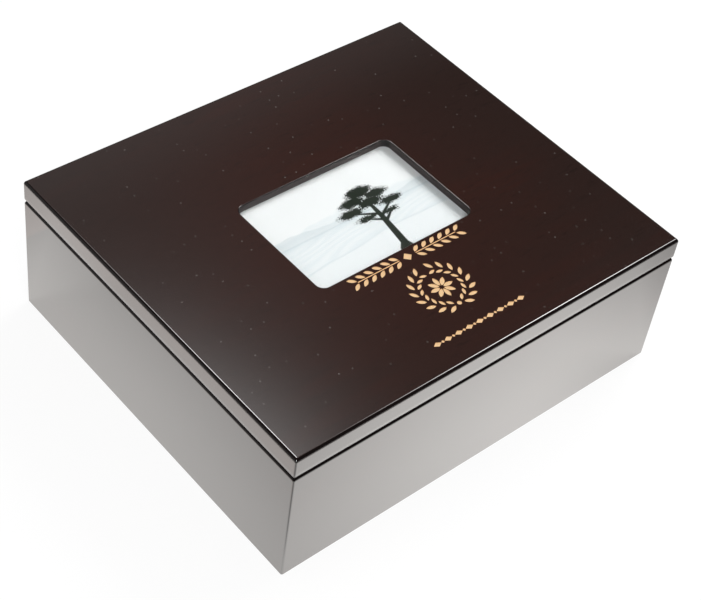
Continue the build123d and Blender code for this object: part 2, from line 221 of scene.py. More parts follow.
# ------------------------------------------------------------------ node recipes
class Recipe:
    """A node tree, with short calls for the nodes that the finishes share."""

    def __init__(self, tree):
        self.tree = tree

    def feed(self, value, socket):
        """Link an output to a socket, or set the socket's own value."""
        if isinstance(value, bpy.types.NodeSocket):
            self.tree.links.new(value, socket)
        else:
            socket.default_value = value

    def node(self, kind, inputs, **settings):
        """A node with its settings and its named inputs."""
        node = self.tree.nodes.new(kind)
        for name, value in settings.items():
            setattr(node, name, value)
        for name, value in inputs.items():
            self.feed(value, node.inputs[name])
        return node

    def maths(self, operation, *values):
        """Result of one math node."""
        inputs = dict(enumerate(values))
        return self.node("ShaderNodeMath", inputs, operation=operation).outputs[0]

    def total(self, *values):
        """Sum of several values."""
        result = values[0]
        for value in values[1:]:
            result = self.maths("ADD", result, value)
        return result

    def product(self, *values):
        """Product of several values."""
        result = values[0]
        for value in values[1:]:
            result = self.maths("MULTIPLY", result, value)
        return result

    def step(self, value, low, high, start=0.0, end=1.0):
        """Smooth step from start at low to end at high."""
        inputs = {0: value, 1: low, 2: high, 3: start, 4: end}
        made = self.node("ShaderNodeMapRange", inputs, interpolation_type="SMOOTHSTEP")
        return made.outputs[0]

    def blend(self, amount, first, second):
        """Colour between first, at 0, and second, at 1."""
        ends = [c if isinstance(c, bpy.types.NodeSocket) else (*c, 1) for c in (first, second)]
        made = self.node("ShaderNodeMix", {0: amount, 6: ends[0], 7: ends[1]}, data_type="RGBA")
        return made.outputs[2]

    def place(self, scale=(1, 1, 1)):
        """Object coordinates, in metres, times a scale along each axis."""
        source = self.node("ShaderNodeTexCoord", {}).outputs["Object"]
        return self.node("ShaderNodeMapping", {"Vector": source, "Scale": scale}).outputs[0]

    def axes(self, vector):
        """The three parts of a vector."""
        return self.node("ShaderNodeSeparateXYZ", {0: vector}).outputs

    def noise(self, place, scale, detail=3.0, roughness=0.55, distortion=0.0):
        """Fractal noise about 0.5."""
        inputs = {
            "Vector": place,
            "Scale": scale,
            "Detail": detail,
            "Roughness": roughness,
            "Distortion": distortion,
        }
        return self.node("ShaderNodeTexNoise", inputs).outputs[0]

    def spots(self, place, scale, radius, kept):
        """Round motes on a level face, one to a cell, of which the share kept is left."""
        inputs = {"Vector": place, "Scale": scale}
        cells = self.node("ShaderNodeTexVoronoi", inputs, voronoi_dimensions="2D")
        near = self.step(cells.outputs["Distance"], radius, radius * 0.4)
        luck, pallor, _ = self.axes(cells.outputs["Color"])
        return self.product(near, self.maths("LESS_THAN", luck, kept), pallor)

    def patch(self, place, middle, reach):
        """Soft round patch on a level face: exp(-(x / reach)^2 - (y / reach)^2) about a middle."""
        parts = self.axes(place)
        offsets = [self.maths("SUBTRACT", parts[i], middle[i]) for i in range(2)]
        shares = [self.maths("DIVIDE", offset, reach[i]) for i, offset in enumerate(offsets)]
        squares = self.total(*(self.product(part, part) for part in shares))
        return self.maths("EXPONENT", self.product(squares, -1.0))

    def bump(self, height, distance, strength=1.0, over=None):
        """Normal of a surface that rises by height times distance over another such surface."""
        inputs = {"Height": height, "Distance": distance, "Strength": strength}
        if over is not None:
            inputs["Normal"] = over
        return self.node("ShaderNodeBump", inputs).outputs[0]


class Finish(Recipe):
    """A material with one main shader, whose sockets are set by name."""

    def __init__(self, name):
        self.material = bpy.data.materials.new(name)
        self.material.use_nodes = True
        super().__init__(self.material.node_tree)
        self.shader = self.tree.nodes["Principled BSDF"]

    def set(self, **sockets):
        """Set or link shader sockets; an underscore stands for a space."""
        for name, value in sockets.items():
            if isinstance(value, (tuple, list)) and len(value) == 3:
                value = (*value, 1)
            self.feed(value, self.shader.inputs[name.replace("_", " ")])


def finish_nodes(material, *names):
    """Give packed nodes a material in place of their plain one."""
    for name in names:
        for slot in nodes[name].material_slots:
            slot.material = material


# ------------------------------------------------------------------ finishes
def within(made, part, reach):
    """1 where a coordinate lies nearer to the middle than the reach."""
    return made.maths("LESS_THAN", made.maths("ABSOLUTE", part), reach)


def buffed_edge(made, given, place):
    """Height of the lid's buffed lower edge: -buffing * (distance left to the flat)^2.

    It starts a little above the edge, so that the level face underneath stays flat.
    """
    z = made.axes(place)[2]
    above_edge = made.maths("SUBTRACT", z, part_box("lid_rail_front")[0].z)
    to_flat = made.maths("MAXIMUM", made.maths("SUBTRACT", given.buffed_to, above_edge), 0.0)
    clear_of_edge = made.maths("GREATER_THAN", above_edge, 0.3 * MILLIMETRE)
    return made.product(to_flat, to_flat, clear_of_edge, -given.buffing)


def rolled_rim(made, given, place):
    """Height that falls evenly, by the strip's slope, up a strip of the lid's outer rim."""
    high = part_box("lid_panel")[1]
    rim_width = 4 * MILLIMETRE
    x, y, z = made.axes(place)
    past_inner = [
        made.maths("SUBTRACT", made.maths("ABSOLUTE", part), side - rim_width)
        for part, side in ((x, high.x), (y, high.y))
    ]
    at_rim = made.maths("GREATER_THAN", made.maths("MAXIMUM", *past_inner), 0.0)
    drop = made.maths("SUBTRACT", high.z - given.strip_foot + given.strip_height, z)
    drop = made.maths("MINIMUM", made.maths("MAXIMUM", drop, 0.0), given.strip_height)
    return made.product(drop, at_rim, given.strip_slope)


def engraved_pockets(made, given, place):
    """1 on the floors of the engraved pockets and on the lower half of their sides."""
    low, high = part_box("lid_panel")
    depth = given.engraving_depth
    x, y, z = made.axes(place)
    return made.product(
        made.step(z, high.z - depth * 0.45, high.z - depth * 0.25, start=1.0, end=0.0),
        made.maths("GREATER_THAN", z, high.z - 1.5 * depth),
        within(made, x, given.engraving_half_width),
        made.maths("LESS_THAN", y, -given.engraving_back),
        made.maths("GREATER_THAN", y, low.y + 10 * depth),
    )


def window_sides(made, given, place):
    """1 on the sides of the window, under the rounding of its edge."""
    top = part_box("lid_panel")[1].z
    x, y, z = made.axes(place)
    return made.product(
        within(made, x, given.window_half_width),
        within(made, y, given.window_half_depth),
        made.maths("LESS_THAN", z, top - given.window_ease),
    )


def lacquer(name, along, engraved=False):
    """Stained wood under thick clear coats; along is the axis of the grain.

    The stain varies with a noise that is drawn out along the grain, pores are a finer one, and
    a slow noise warms the stain.  The rounded edges are painted darker, a painted shade that
    stands for the dark they mirror, and motes of dust lie only on faces that look up.  The
    engraved panel has a redder heart, bare wood in its pockets, and matt sides round its
    window that are painted darker as painted shade in the recess.
    """
    given = bpy.context.scene.keepsake_lacquer
    made = Finish(name)
    grain_squeeze = 0.09
    drawn = [1.0, 1.0, 1.0]
    drawn[along] = grain_squeeze
    grain_place = made.place(drawn)
    plain_place = made.place()

    figure = made.noise(grain_place, 70, detail=6, roughness=0.6, distortion=0.8)
    cloud = made.noise(plain_place, 9, detail=2)
    warmth = made.product(made.step(figure, 0.40, 0.72), made.step(cloud, 0.35, 0.70))
    if engraved:
        heart = made.patch(plain_place, given.heart_middle, given.heart_reach)
        warmth = made.total(made.product(warmth, 0.35), made.product(heart, 0.7))
    stain = made.blend(warmth, tuple(given.stain), tuple(given.warm_stain))
    pores = made.step(made.noise(grain_place, 900, detail=2), 0.60, 0.72, start=0.0, end=0.45)
    stain = made.blend(pores, stain, toned(given.stain, 0.4))

    normal = made.axes(made.node("ShaderNodeNewGeometry", {}).outputs["Normal"])
    nx, ny, nz = (made.maths("ABSOLUTE", part) for part in normal)
    squareness = made.maths("MAXIMUM", made.maths("MAXIMUM", nx, ny), nz)
    # Painted shade: the rounded edges are painted darker, standing for the dark room they mirror
    painted_edge_shade = made.step(squareness, 0.99, 0.93, start=0.0, end=given.painted_edge_shade)
    stain = made.blend(painted_edge_shade, stain, BLACK)
    motes = made.spots(plain_place, scale=105, radius=0.078, kept=0.27)
    faces_up = made.step(normal[2], 0.97, 0.99)
    dust = made.product(motes, faces_up, 0.5)
    stain = made.blend(dust, stain, tuple(given.dust))
    haze = made.noise(plain_place, 24, detail=4)
    rough = made.total(given.roughness - 0.03, made.product(haze, 0.06), made.product(dust, 0.3))
    peel = made.noise(plain_place, 210, detail=1)
    height = made.total(made.product(peel, 0.5), made.product(pores, -0.2))

    if engraved:
        cut = engraved_pockets(made, given, plain_place)
        # matt marks the window's sides: they are matt, and are also painted darker as painted
        # shade
        matt = window_sides(made, given, plain_place)
        fibres = made.noise(grain_place, 1600, detail=3)
        bare = made.blend(fibres, toned(given.bare_wood, 0.9), tuple(given.bare_wood))
        stain = made.blend(cut, stain, bare)
        # Painted shade: the window's sides are painted 40 per cent darker, standing for shade in
        # the recess
        stain = made.blend(made.product(matt, 0.4), stain, BLACK)
        rough = made.total(rough, made.product(cut, 0.5), made.product(matt, 0.67))
        coat = made.maths("SUBTRACT", 1.0, made.maths("MAXIMUM", cut, matt))
        form = rolled_rim(made, given, plain_place)
    else:
        coat = 1.0
        form = buffed_edge(made, given, plain_place)

    made.set(
        Base_Color=stain,
        Roughness=rough,
        IOR=given.gloss,
        Coat_Weight=coat,
        Coat_Roughness=0.02,
        Coat_IOR=given.gloss,
        Normal=made.bump(height, 0.00002, 0.35, over=made.bump(form, 1.0)),
    )
    return made.material


def velvet():
    """Short pile: a sheen at grazing angles, and cloudy patches where it was brushed that the
    colour lightens as a painted sheen.
    """
    given = bpy.context.scene.keepsake_lining
    made = Finish("black_velvet")
    place = made.place()
    brushed = made.step(made.noise(place, 28, detail=3, distortion=1.2), 0.36, 0.74)
    tufts = made.noise(place, 2600, detail=2)
    # Painted sheen: brushed patches and tufts are painted lighter, standing for pile that catches
    # the light
    lit = made.product(made.total(made.product(brushed, 0.6), made.product(tufts, 0.4)), 0.8)
    made.set(
        Base_Color=made.blend(lit, tuple(given.pile), tuple(given.painted_sheen_pile)),
        Roughness=made.total(0.82, made.product(tufts, 0.15)),
        Specular_IOR_Level=0.2,
        Sheen_Weight=0.75,
        Sheen_Roughness=0.35,
        Sheen_Tint=(0.62, 0.62, 0.68),
        Normal=made.bump(made.total(tufts, made.product(brushed, 0.6)), 0.0003, 0.5),
    )
    return made.material


def print_paper():
    """Glossy paper whose picture is a colour attribute of its mesh."""
    made = Finish("print_paper")
    picture = made.node("ShaderNodeAttribute", {}, attribute_name="picture").outputs["Color"]
    grain = made.noise(made.place(), 2600, detail=2)
    soft = made.blend(made.product(grain, 0.04), picture, BLACK)
    made.set(
        Base_Color=soft,
        Roughness=made.total(0.3, made.product(grain, 0.1)),
        Specular_IOR_Level=0.15,
        Normal=made.bump(grain, 0.00001, 0.3),
    )
    return made.material


def pane_glass():
    """Clear pane that lets lamps through, with a trace of wiped haze in its roughness."""
    made = Finish("pane_glass")
    wiped = made.noise(made.place((1, 0.2, 1)), 60, detail=4)
    made.set(
        Base_Color=(0.985, 0.995, 0.99),
        Roughness=made.step(wiped, 0.45, 0.8, start=0.0, end=0.03),
        IOR=1.5,
        Transmission_Weight=1.0,
    )
    ray = made.node("ShaderNodeLightPath", {}).outputs["Is Shadow Ray"]
    clear = made.node("ShaderNodeBsdfTransparent", {}).outputs[0]
    both = made.node("ShaderNodeMixShader", {0: ray, 1: made.shader.outputs[0], 2: clear})
    made.feed(both.outputs[0], made.tree.nodes["Material Output"].inputs["Surface"])
    return made.material


def brass():
    """Lacquered brass: fine turning marks, and duller where hands and screws rub."""
    given = bpy.context.scene.keepsake_fittings
    made = Finish("lacquered_brass")
    marks = made.noise(made.place((0.15, 1, 1)), 1800, detail=3)
    age = made.step(made.noise(made.place(), 90, detail=3), 0.45, 0.80, start=0.0, end=0.45)
    made.set(
        Base_Color=made.blend(age, tuple(given.brass), tuple(given.old_brass)),
        Metallic=0.7,
        Roughness=made.total(0.17, made.product(age, 0.22), made.product(marks, 0.12)),
        Normal=made.bump(marks, 0.00002, 0.4),
    )
    return made.material


def felt():
    """Pressed felt: matted fibres and small clumps."""
    given = bpy.context.scene.keepsake_fittings
    made = Finish("base_felt")
    fibres = made.noise(made.place(), 1500, detail=5, roughness=0.7, distortion=2.0)
    clumps = made.noise(made.place(), 240, detail=2)
    made.set(
        Base_Color=made.blend(
            made.product(fibres, clumps), tuple(given.felt), toned(given.felt, 3.2)
        ),
        Roughness=0.95,
        Sheen_Weight=0.4,
        Sheen_Roughness=0.6,
        Normal=made.bump(made.total(fibres, clumps), 0.0004, 0.6),
    )
    return made.material


def fibre_board():
    """Brown fibre board: pressed fibres lying flat, with darker shives."""
    given = bpy.context.scene.keepsake_fittings
    made = Finish("fibre_board")
    fibres = made.noise(made.place(), 900, detail=6, roughness=0.7, distortion=1.5)
    flat_place = made.place((1, 0.25, 1))
    shives = made.step(made.noise(flat_place, 500, detail=2), 0.62, 0.72, start=0.0, end=0.6)
    tone = made.blend(fibres, toned(given.board, 0.7), toned(given.board, 1.35))
    made.set(
        Base_Color=made.blend(shives, tone, toned(given.board, 0.4)),
        Roughness=made.total(0.62, made.product(fibres, 0.2)),
        Normal=made.bump(fibres, 0.0001, 0.4),
    )
    return made.material


def bumper_rubber():
    """Soft grey rubber with a matt skin."""
    given = bpy.context.scene.keepsake_fittings
    made = Finish("bumper_rubber")
    skin = made.noise(made.place(), 1400, detail=3)
    made.set(
        Base_Color=made.blend(skin, toned(given.bumper, 0.8), tuple(given.bumper)),
        Roughness=made.total(0.48, made.product(skin, 0.2)),
        Normal=made.bump(skin, 0.00003, 0.4),
    )
    return made.material


# ------------------------------------------------------------------ meshes
def new_piece(name, points, faces, material, body, replaced):
    """Object from arrays of points and faces, riding on a body in place of packed nodes."""
    mesh = bpy.data.meshes.new(name)
    mesh.from_pydata(points.tolist(), [], faces)
    work = bmesh.new()
    work.from_mesh(mesh)
    bmesh.ops.recalc_face_normals(work, faces=work.faces)
    work.to_mesh(mesh)
    work.free()
    mesh.polygons.foreach_set("use_smooth", np.ones(len(mesh.polygons), bool))
    mesh.set_sharp_from_angle(angle=SHARP_EDGE)
    mesh.materials.append(material)
    piece = bpy.data.objects.new(name, mesh)
    bpy.context.scene.collection.objects.link(piece)
    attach(piece, body)
    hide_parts(*replaced)
    return piece


def quads(rows, columns, closed=False):
    """Faces of a grid of points stored row by row; closed joins both pairs of opposite ends."""
    row_count, column_count = (rows, columns) if closed else (rows - 1, columns - 1)
    i, j = np.meshgrid(np.arange(row_count), np.arange(column_count), indexing="ij")
    i2, j2 = (i + 1) % rows, (j + 1) % columns
    corners = (i * columns + j, i2 * columns + j, i2 * columns + j2, i * columns + j2)
    return np.stack(corners, axis=-1).reshape(-1, 4).tolist()


def border(rows, columns):
    """Point numbers round the edge of a grid, in order."""
    index = np.arange(rows * columns).reshape(rows, columns)
    sides = (index[0, :-1], index[:-1, -1], index[-1, :0:-1], index[:0:-1, 0])
    return np.concatenate(sides).tolist()


def edge_crowded(count):
    """Values from -1 to 1 that crowd towards both ends: 1 - (1 - |s|)^3, with the sign of s."""
    s = np.linspace(-1, 1, count)
    return np.sign(s) * (1 - (1 - np.abs(s)) ** 3)


def roll_over(distance, radius):
    """Height from 0 to 1 over a quarter circle, by the distance from the edge."""
    t = np.clip(distance / radius, 0, 1)
    return np.sqrt(1 - (1 - t) ** 2)


def velvet_board(node, towards, material):
    """Closed pad in the space of a packed board, flat at the back and crowned in front.

    Over the board's two long axes a and b, the height is the thickness, times a square side
    with a roll over it at each edge, times 1 - crown * (1 - (1 - a^4)(1 - b^4)), less a slow
    ripple of the stuffing.
    """
    given = bpy.context.scene.keepsake_lining
    low, high = (np.array(corner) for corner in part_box(node))
    thick_axis = int(np.argmin(high - low))
    first, second = (axis for axis in range(3) if axis != thick_axis)
    half = (high - low) / 2
    middle = (high + low) / 2
    rows, columns = 71, 61
    ripple_share = 0.03
    a, b = np.meshgrid(edge_crowded(rows), edge_crowded(columns), indexing="ij")
    swell = 1 - given.crown * (1 - (1 - a**4) * (1 - b**4))
    ripple = 1 - ripple_share * (1 + np.sin(23 * a + 4 * b) * np.sin(17 * b - 3 * a)) / 2
    rolls = roll_over((1 - np.abs(a)) * half[first], given.roll)
    rolls = rolls * roll_over((1 - np.abs(b)) * half[second], given.roll)
    height = 2 * half[thick_axis] * swell * ripple * (given.side + (1 - given.side) * rolls)
    points = np.empty((rows, columns, 3))
    points[..., first] = middle[first] + a * half[first]
    points[..., second] = middle[second] + b * half[second]
    back = middle[thick_axis] - towards * half[thick_axis]
    points[..., thick_axis] = back + towards * height
    points = points.reshape(-1, 3)
    edge = border(rows, columns)
    foot = points[edge]
    foot[:, thick_axis] = back
    under = list(range(len(points), len(points) + len(edge)))
    sides = list(zip(edge, edge[1:] + edge[:1], under[1:] + under[:1], under))
    points = np.concatenate((points, foot))
    faces = quads(rows, columns) + sides + [under]
    pad = new_piece(f"velvet_{node}", points, faces, material, "case", [node])
    return pad


def rectangle_loop(half_x, half_y, per_side):
    """Points round a rectangle from its front left corner, per_side to a side, corners shared."""
    t = np.linspace(-1, 1, per_side, endpoint=False)
    ones = np.ones_like(t)
    x = np.concatenate((t, ones, -t, -ones)) * half_x
    y = np.concatenate((-ones, t, ones, -t)) * half_y
    return np.stack((x, y), axis=-1)


def lid_velvet(material):
    """Closed frame-shaped pad round the photo pocket.

    Its section is carried round the pocket: a width that runs from the outer edge to the hole
    and a height that rolls over a square side at both, hung down from the panel.
    """
    given = bpy.context.scene.keepsake_lining
    low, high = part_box("lid_lining")
    per_side, across_count = 60, 45
    outer = rectangle_loop(high.x, high.y, per_side)
    hole_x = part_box("pocket_strip_right")[1].x + given.hole_fit
    hole_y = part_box("pocket_strip_back")[1].y + given.hole_fit
    inner = rectangle_loop(hole_x, hole_y, per_side)
    width = high.y - hole_y
    across = (edge_crowded(across_count) + 1) / 2
    swell = 1 - given.crown * (2 * across - 1) ** 4
    rolls = roll_over(np.minimum(across, 1 - across) * width, given.roll)
    drop = (high.z - low.z) * swell * (given.side + (1 - given.side) * rolls)
    back = across[::-1]
    inward = np.concatenate((across, back))[None, :, None]
    section_z = np.concatenate((high.z - drop, np.full(len(back), high.z)))
    plan = outer[:, None] * (1 - inward) + inner[:, None] * inward
    height = np.broadcast_to(section_z, plan.shape[:2])
    points = np.concatenate((plan, height[..., None]), axis=-1).reshape(-1, 3)
    faces = quads(*plan.shape[:2], closed=True)
    pad = new_piece(
        "velvet_lid_lining", points, faces, material, "lid", ["lid_lining"]
    )
    return pad


# ------------------------------------------------------------------ picture on the print
def limb_distance(x, y, start, end, thick, thin):
    """Distance from a tapered limb: below 0 inside it."""
    way = np.subtract(end, start)
    t = ((x - start[0]) * way[0] + (y - start[1]) * way[1]) / (way @ way)
    t = np.clip(t, 0, 1)
    away = np.hypot(x - start[0] - t * way[0], y - start[1] - t * way[1])
    return away - (thick + (thin - thick) * t)


def tree_shape(x, y):
    """Share of ink of an old pine: a leaning trunk, bare boughs and flat clouds of needles.

    Each cloud is an ellipse about the end of a bough, and sums of sines tatter its rim.
    """
    foot, fork, top = (12.0, -33.0), (15.5, -8.0), (16.5, 8.0)
    gap = limb_distance(x, y, foot, fork, 2.4, 1.7)
    gap = np.minimum(gap, limb_distance(x, y, (11.0, -37.5), foot, 5.0, 2.4))
    gap = np.minimum(gap, limb_distance(x, y, fork, top, 1.7, 0.8))
    tatter = 0.9 * np.sin(1.9 * x + 2 * np.sin(1.3 * y)) * np.sin(2.6 * y + 2 * np.sin(1.1 * x))
    tatter += 0.6 * np.sin(4.6 * x + 1.7 * y) * np.sin(4.1 * y - 2.1 * x)
    clouds = (
        (16.5, 16.5, 9.5, 4.4),
        (7.0, 11.0, 9.0, 3.6),
        (25.5, 10.5, 8.0, 3.4),
        (0.5, 3.5, 9.0, 3.2),
        (17.5, 6.0, 9.0, 3.6),
        (30.0, 1.0, 8.0, 2.8),
        (6.0, -5.0, 6.5, 2.2),
        (24.0, -6.5, 5.0, 1.8),
    )
    for cloud_x, cloud_y, half_width, half_height in clouds:
        aside = cloud_x - fork[0]
        root = (fork[0] + 0.05 * aside, cloud_y - 0.45 * abs(aside) - 2.0)
        gap = np.minimum(gap, limb_distance(x, y, root, (cloud_x, cloud_y - 0.6), 1.0, 0.35))
        reach = np.hypot((x - cloud_x) / half_width, (y - cloud_y) / half_height)
        gap = np.minimum(gap, (reach - 1) * half_height + tatter)
    return 1 - share(-0.1, 0.5, gap)


def landscape(x, y, given):
    """Colours of a pale lake at dawn, by place on the print in millimetres.

    White sky, two ridges drawn by sums of sines, a lake whose ripples are thin level streaks,
    a pale beach below, and one dark tree.
    """
    paper = np.array(given.paper)
    mist = np.array(given.mist)
    near = np.array(given.near_hills)
    far_line = 10 + 3.0 * np.sin(x / 17 + 1) + 1.4 * np.sin(x / 6.1) + 0.5 * np.sin(x / 2.3 + 2)
    near_line = 5.5 + 2.2 * np.sin(x / 23 + 4) + 0.9 * np.sin(x / 7.7 + 1) + 0.3 * np.sin(x / 1.9)
    shore = -21 + 3.0 * np.sin(x / 31 + 0.6) + 0.6 * np.sin(x / 8.3)
    picture = np.broadcast_to(paper, (*x.shape, 3)).copy()

    def paint(amount, ink):
        picture[:] = picture + amount[..., None] * (ink - picture)

    paint(0.30 * share(0.6, -0.6, y - far_line) * share(-6, 8, y), mist)
    paint(0.36 * share(0.5, -0.5, y - near_line) * share(-6, 4, y), near)
    lake = share(0.4, -0.4, y - 0.5) * share(-0.8, 0.8, y - shore)
    streaks = np.sin(y * 3.1 + np.sin(x / 9) * 1.5) * np.sin(x / 4.3 + y * 1.7 + 2 * np.sin(y / 3))
    paint(lake * (0.34 + 0.22 * np.clip(streaks, -1, 1)), mist)
    paint(0.45 * np.exp(-((y - 0.4) / 0.5) ** 2), near)
    paint(0.30 * np.exp(-((y - shore) / 0.7) ** 2), near)
    beach = share(0.8, -0.8, y - shore)
    sand = np.sin(x * 1.9 + 2 * np.sin(y * 1.3)) * np.sin(y * 2.3 + np.sin(x * 0.7))
    paint(beach * (0.20 + 0.08 * sand), mist)
    shade = np.exp(-(((x - 20) / 9) ** 2) - ((y + 37.5) / 1.4) ** 2)
    paint(0.55 * shade, near)
    paint(tree_shape(x, y), np.array(given.tree))
    return np.clip(picture, 0, 1)


def print_sheet(material):
    """Closed sheet in the space of the packed print, coloured point by point on its face."""
    given = bpy.context.scene.keepsake_print
    low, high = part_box("photo_print")
    rows, columns = given.rows, given.columns
    x = np.linspace(low.x, high.x, columns)
    y = np.linspace(low.y, high.y, rows)
    y, x = np.meshgrid(y, x, indexing="ij")
    face = np.stack((x, y, np.full_like(x, high.z - given.seat)), axis=-1).reshape(-1, 3)
    edge = np.array(border(rows, columns))
    under = face[edge]
    under[:, 2] = low.z + given.seat
    first = len(face)
    ring = np.arange(len(edge))
    after = (ring + 1) % len(edge)
    walls = np.stack((edge, first + ring, first + after, edge[after]), axis=-1).tolist()
    faces = quads(rows, columns) + walls + [(first + ring).tolist()]
    points = np.concatenate((face, under))
    sheet = new_piece(
        "landscape_print", points, faces, material, "lid", ["photo_print"]
    )
    inks = np.ones((len(points), 4), np.float32)
    inks[:, :3] = given.paper
    picture = landscape(x / MILLIMETRE, y / MILLIMETRE, given)
    inks[:first, :3] = picture.reshape(-1, 3)
    layer = sheet.data.color_attributes.new("picture", "FLOAT_COLOR", "POINT")
    layer.data.foreach_set("color", inks.ravel())
    return sheet


# ------------------------------------------------------------------ studio
def mirrored_floor(made, x, y):
    """How bright the floor is to a mirror, and where on it the ruddy tint lies.

    It dims in three soft steps away from the box and is gone 0.6 m off.  Past the box's front
    it is brightest before a place right of the middle, and dips along a slant on the right.
    Past the left side it brightens towards the back and once more, with the tint, beyond
    50 mm.  Past the near corner it is dimmer.
    """
    low, high = cad_box
    beside = made.maths("SUBTRACT", made.maths("ABSOLUTE", x), high.x)
    before = made.maths("SUBTRACT", made.maths("ABSOLUTE", y), -low.y)
    away = made.maths("MAXIMUM", beside, before)
    fades = ((-0.01, 0.09, 0.66), (0.078, 0.15, 0.42), (0.13, 0.60, 0.0))
    fade = made.product(*(made.step(away, a, b, start=1.0, end=left) for a, b, left in fades))

    brightest_x, slant = 0.055, 1.6
    off_middle = made.maths("ABSOLUTE", made.maths("SUBTRACT", x, brightest_x))
    towards_right = made.maths("SUBTRACT", x, made.product(before, slant))
    front = made.product(
        made.step(off_middle, 0.0, 0.28, start=0.86, end=0.53),
        made.step(towards_right, 0.03, 0.15, start=1.0, end=0.87),
    )

    far_off = made.step(away, 0.048, 0.052)
    left = made.product(
        made.step(y, -0.30, 0.05, start=0.43, end=0.62),
        made.total(1.0, made.product(far_off, 0.09)),
    )
    from_corner = [made.maths("SUBTRACT", part, least) for part, least in ((y, low.y), (x, low.x))]
    on_left = made.product(
        made.step(made.maths("SUBTRACT", *from_corner), -0.003, 0.003),
        made.step(x, low.x, high.x, start=1.0, end=0.0),
    )

    corner_blend, corner_depth = 0.02, 0.5
    corner = made.product(
        made.step(x, low.x, low.x - corner_blend),
        made.step(y, low.y, low.y - corner_blend),
        made.step(away, 0.065, 0.14, start=corner_depth, end=0.0),
    )
    sheet = made.total(front, made.product(on_left, made.maths("SUBTRACT", left, front)))
    sheet = made.product(sheet, fade, made.maths("SUBTRACT", 1.0, corner))
    return sheet, made.product(on_left, far_off)


def floor_finish(given):
    """White floor: part of its white is its own and the lamps light the rest, so that it keeps
    the shadow.  To a mirror it is a grey sheet round the box.
    """
    made = Finish("studio_floor")
    x, y, _ = made.axes(made.place())
    path = made.node("ShaderNodeLightPath", {}).outputs
    sheet, ruddy = mirrored_floor(made, x, y)
    seen = made.maths("MAXIMUM", path["Is Camera Ray"], path["Is Transmission Ray"])
    glossy = path["Is Glossy Ray"]
    tint = made.blend(ruddy, tuple(given.mirror_tint), tuple(given.far_tint))
    lit_sheet = made.blend(sheet, BLACK, (0.58, 0.565, 0.55))
    made.set(
        Base_Color=made.blend(glossy, toned(WHITE, given.floor_lit), lit_sheet),
        Roughness=0.9,
        Specular_IOR_Level=0.0,
        Emission_Color=made.blend(glossy, WHITE, tint),
        Emission_Strength=made.total(
            made.product(seen, given.floor_glow), made.product(glossy, sheet)
        ),
    )
    return made.material


def studio_floor(given):
    """Level floor far wider than the view."""
    reach = 6.0
    corners = [(-reach, -reach, 0), (reach, -reach, 0), (reach, reach, 0), (-reach, reach, 0)]
    mesh = bpy.data.meshes.new("studio_floor")
    mesh.from_pydata(corners, [], [(0, 1, 2, 3)])
    mesh.materials.append(floor_finish(given))
    floor = bpy.data.objects.new("studio_floor", mesh)
    bpy.context.scene.collection.objects.link(floor)


def soft_box(made, direction, middle, spread, strength):
    """Brightness of a soft box about a direction: strength * exp((cosine - 1) / spread^2)."""
    middle = tuple(Vector(middle).normalized())
    dot = made.node("ShaderNodeVectorMath", {0: direction, 1: middle}, operation="DOT_PRODUCT")
    short_of_one = made.maths("SUBTRACT", dot.outputs["Value"], 1.0)
    away = made.product(short_of_one, 1 / radians(spread) ** 2)
    return made.product(made.maths("EXPONENT", away), strength)


def background(made, light, strength):
    """Background of a plain colour, or of what a colour socket gives."""
    inputs = {"Color": light, "Strength": strength}
    return made.node("ShaderNodeBackground", inputs).outputs[0]


def studio_world(given):
    """White to the camera and level through glass, and even light to matt surfaces.

    A gloss, and what a pane throws back up, mirrors a dark room with a soft box to the right,
    two behind on the left with a faint glow under them, a small one by the camera and a
    faintly lit wall behind.
    """
    world = bpy.data.worlds.new("studio")
    world.use_nodes = True
    bpy.context.scene.world = world
    made = Recipe(world.node_tree)
    direction = made.node("ShaderNodeTexCoord", {}).outputs["Generated"]
    _, ahead, up = made.axes(direction)
    boxes = (
        ((0.595, 0.185, 0.782), 3.6, given.right_box),
        ((0.311, 0.454, 0.835), 3.9, given.left_box),
        ((0.250, 0.500, 0.830), 3.5, given.left_box),
        ((0.420, 0.585, 0.690), 5.5, given.left_glow),
        ((-0.450, -0.500, 0.740), 3.45, given.near_box),
    )
    wall = made.step(made.maths("DIVIDE", ahead, up), 0.86, 1.0, start=0.0, end=given.back_wall)
    bright = made.total(*(soft_box(made, direction, *box) for box in boxes), wall)
    room = made.blend(made.maths("MINIMUM", bright, 1.0), tuple(given.dark_room), WHITE)
    gloss = background(made, room, made.maths("MAXIMUM", bright, 1.0))
    even = background(made, (*WHITE, 1), given.ambient)
    white = background(made, (*WHITE, 1), 1.0)

    path = made.node("ShaderNodeLightPath", {}).outputs
    level_up_to = 0.35
    upward = made.maths("GREATER_THAN", up, level_up_to)
    first = made.maths("LESS_THAN", path["Diffuse Depth"], 0.5)
    glazed = made.product(path["Is Transmission Ray"], first)
    mirror = made.maths("MAXIMUM", path["Is Glossy Ray"], made.product(glazed, upward))
    lit = made.node("ShaderNodeMixShader", {0: mirror, 1: even, 2: gloss}).outputs[0]
    through = made.product(glazed, made.maths("SUBTRACT", 1.0, upward))
    seen = made.maths("MAXIMUM", path["Is Camera Ray"], through)
    last = made.node("ShaderNodeMixShader", {0: seen, 1: lit, 2: white}).outputs[0]
    made.feed(last, world.node_tree.nodes["World Output"].inputs["Surface"])


def lamp(name, place, power, size, through_glass):
    """Square soft lamp aimed at the box, which gloss never shows and the pane may."""
    light = bpy.data.lights.new(name, "AREA")
    light.energy = power
    light.size = size
    made = bpy.data.objects.new(name, light)
    made.location = place
    made.rotation_euler = (-Vector(place)).to_track_quat("-Z", "Y").to_euler()
    made.visible_glossy = False
    made.visible_transmission = through_glass
    bpy.context.scene.collection.objects.link(made)


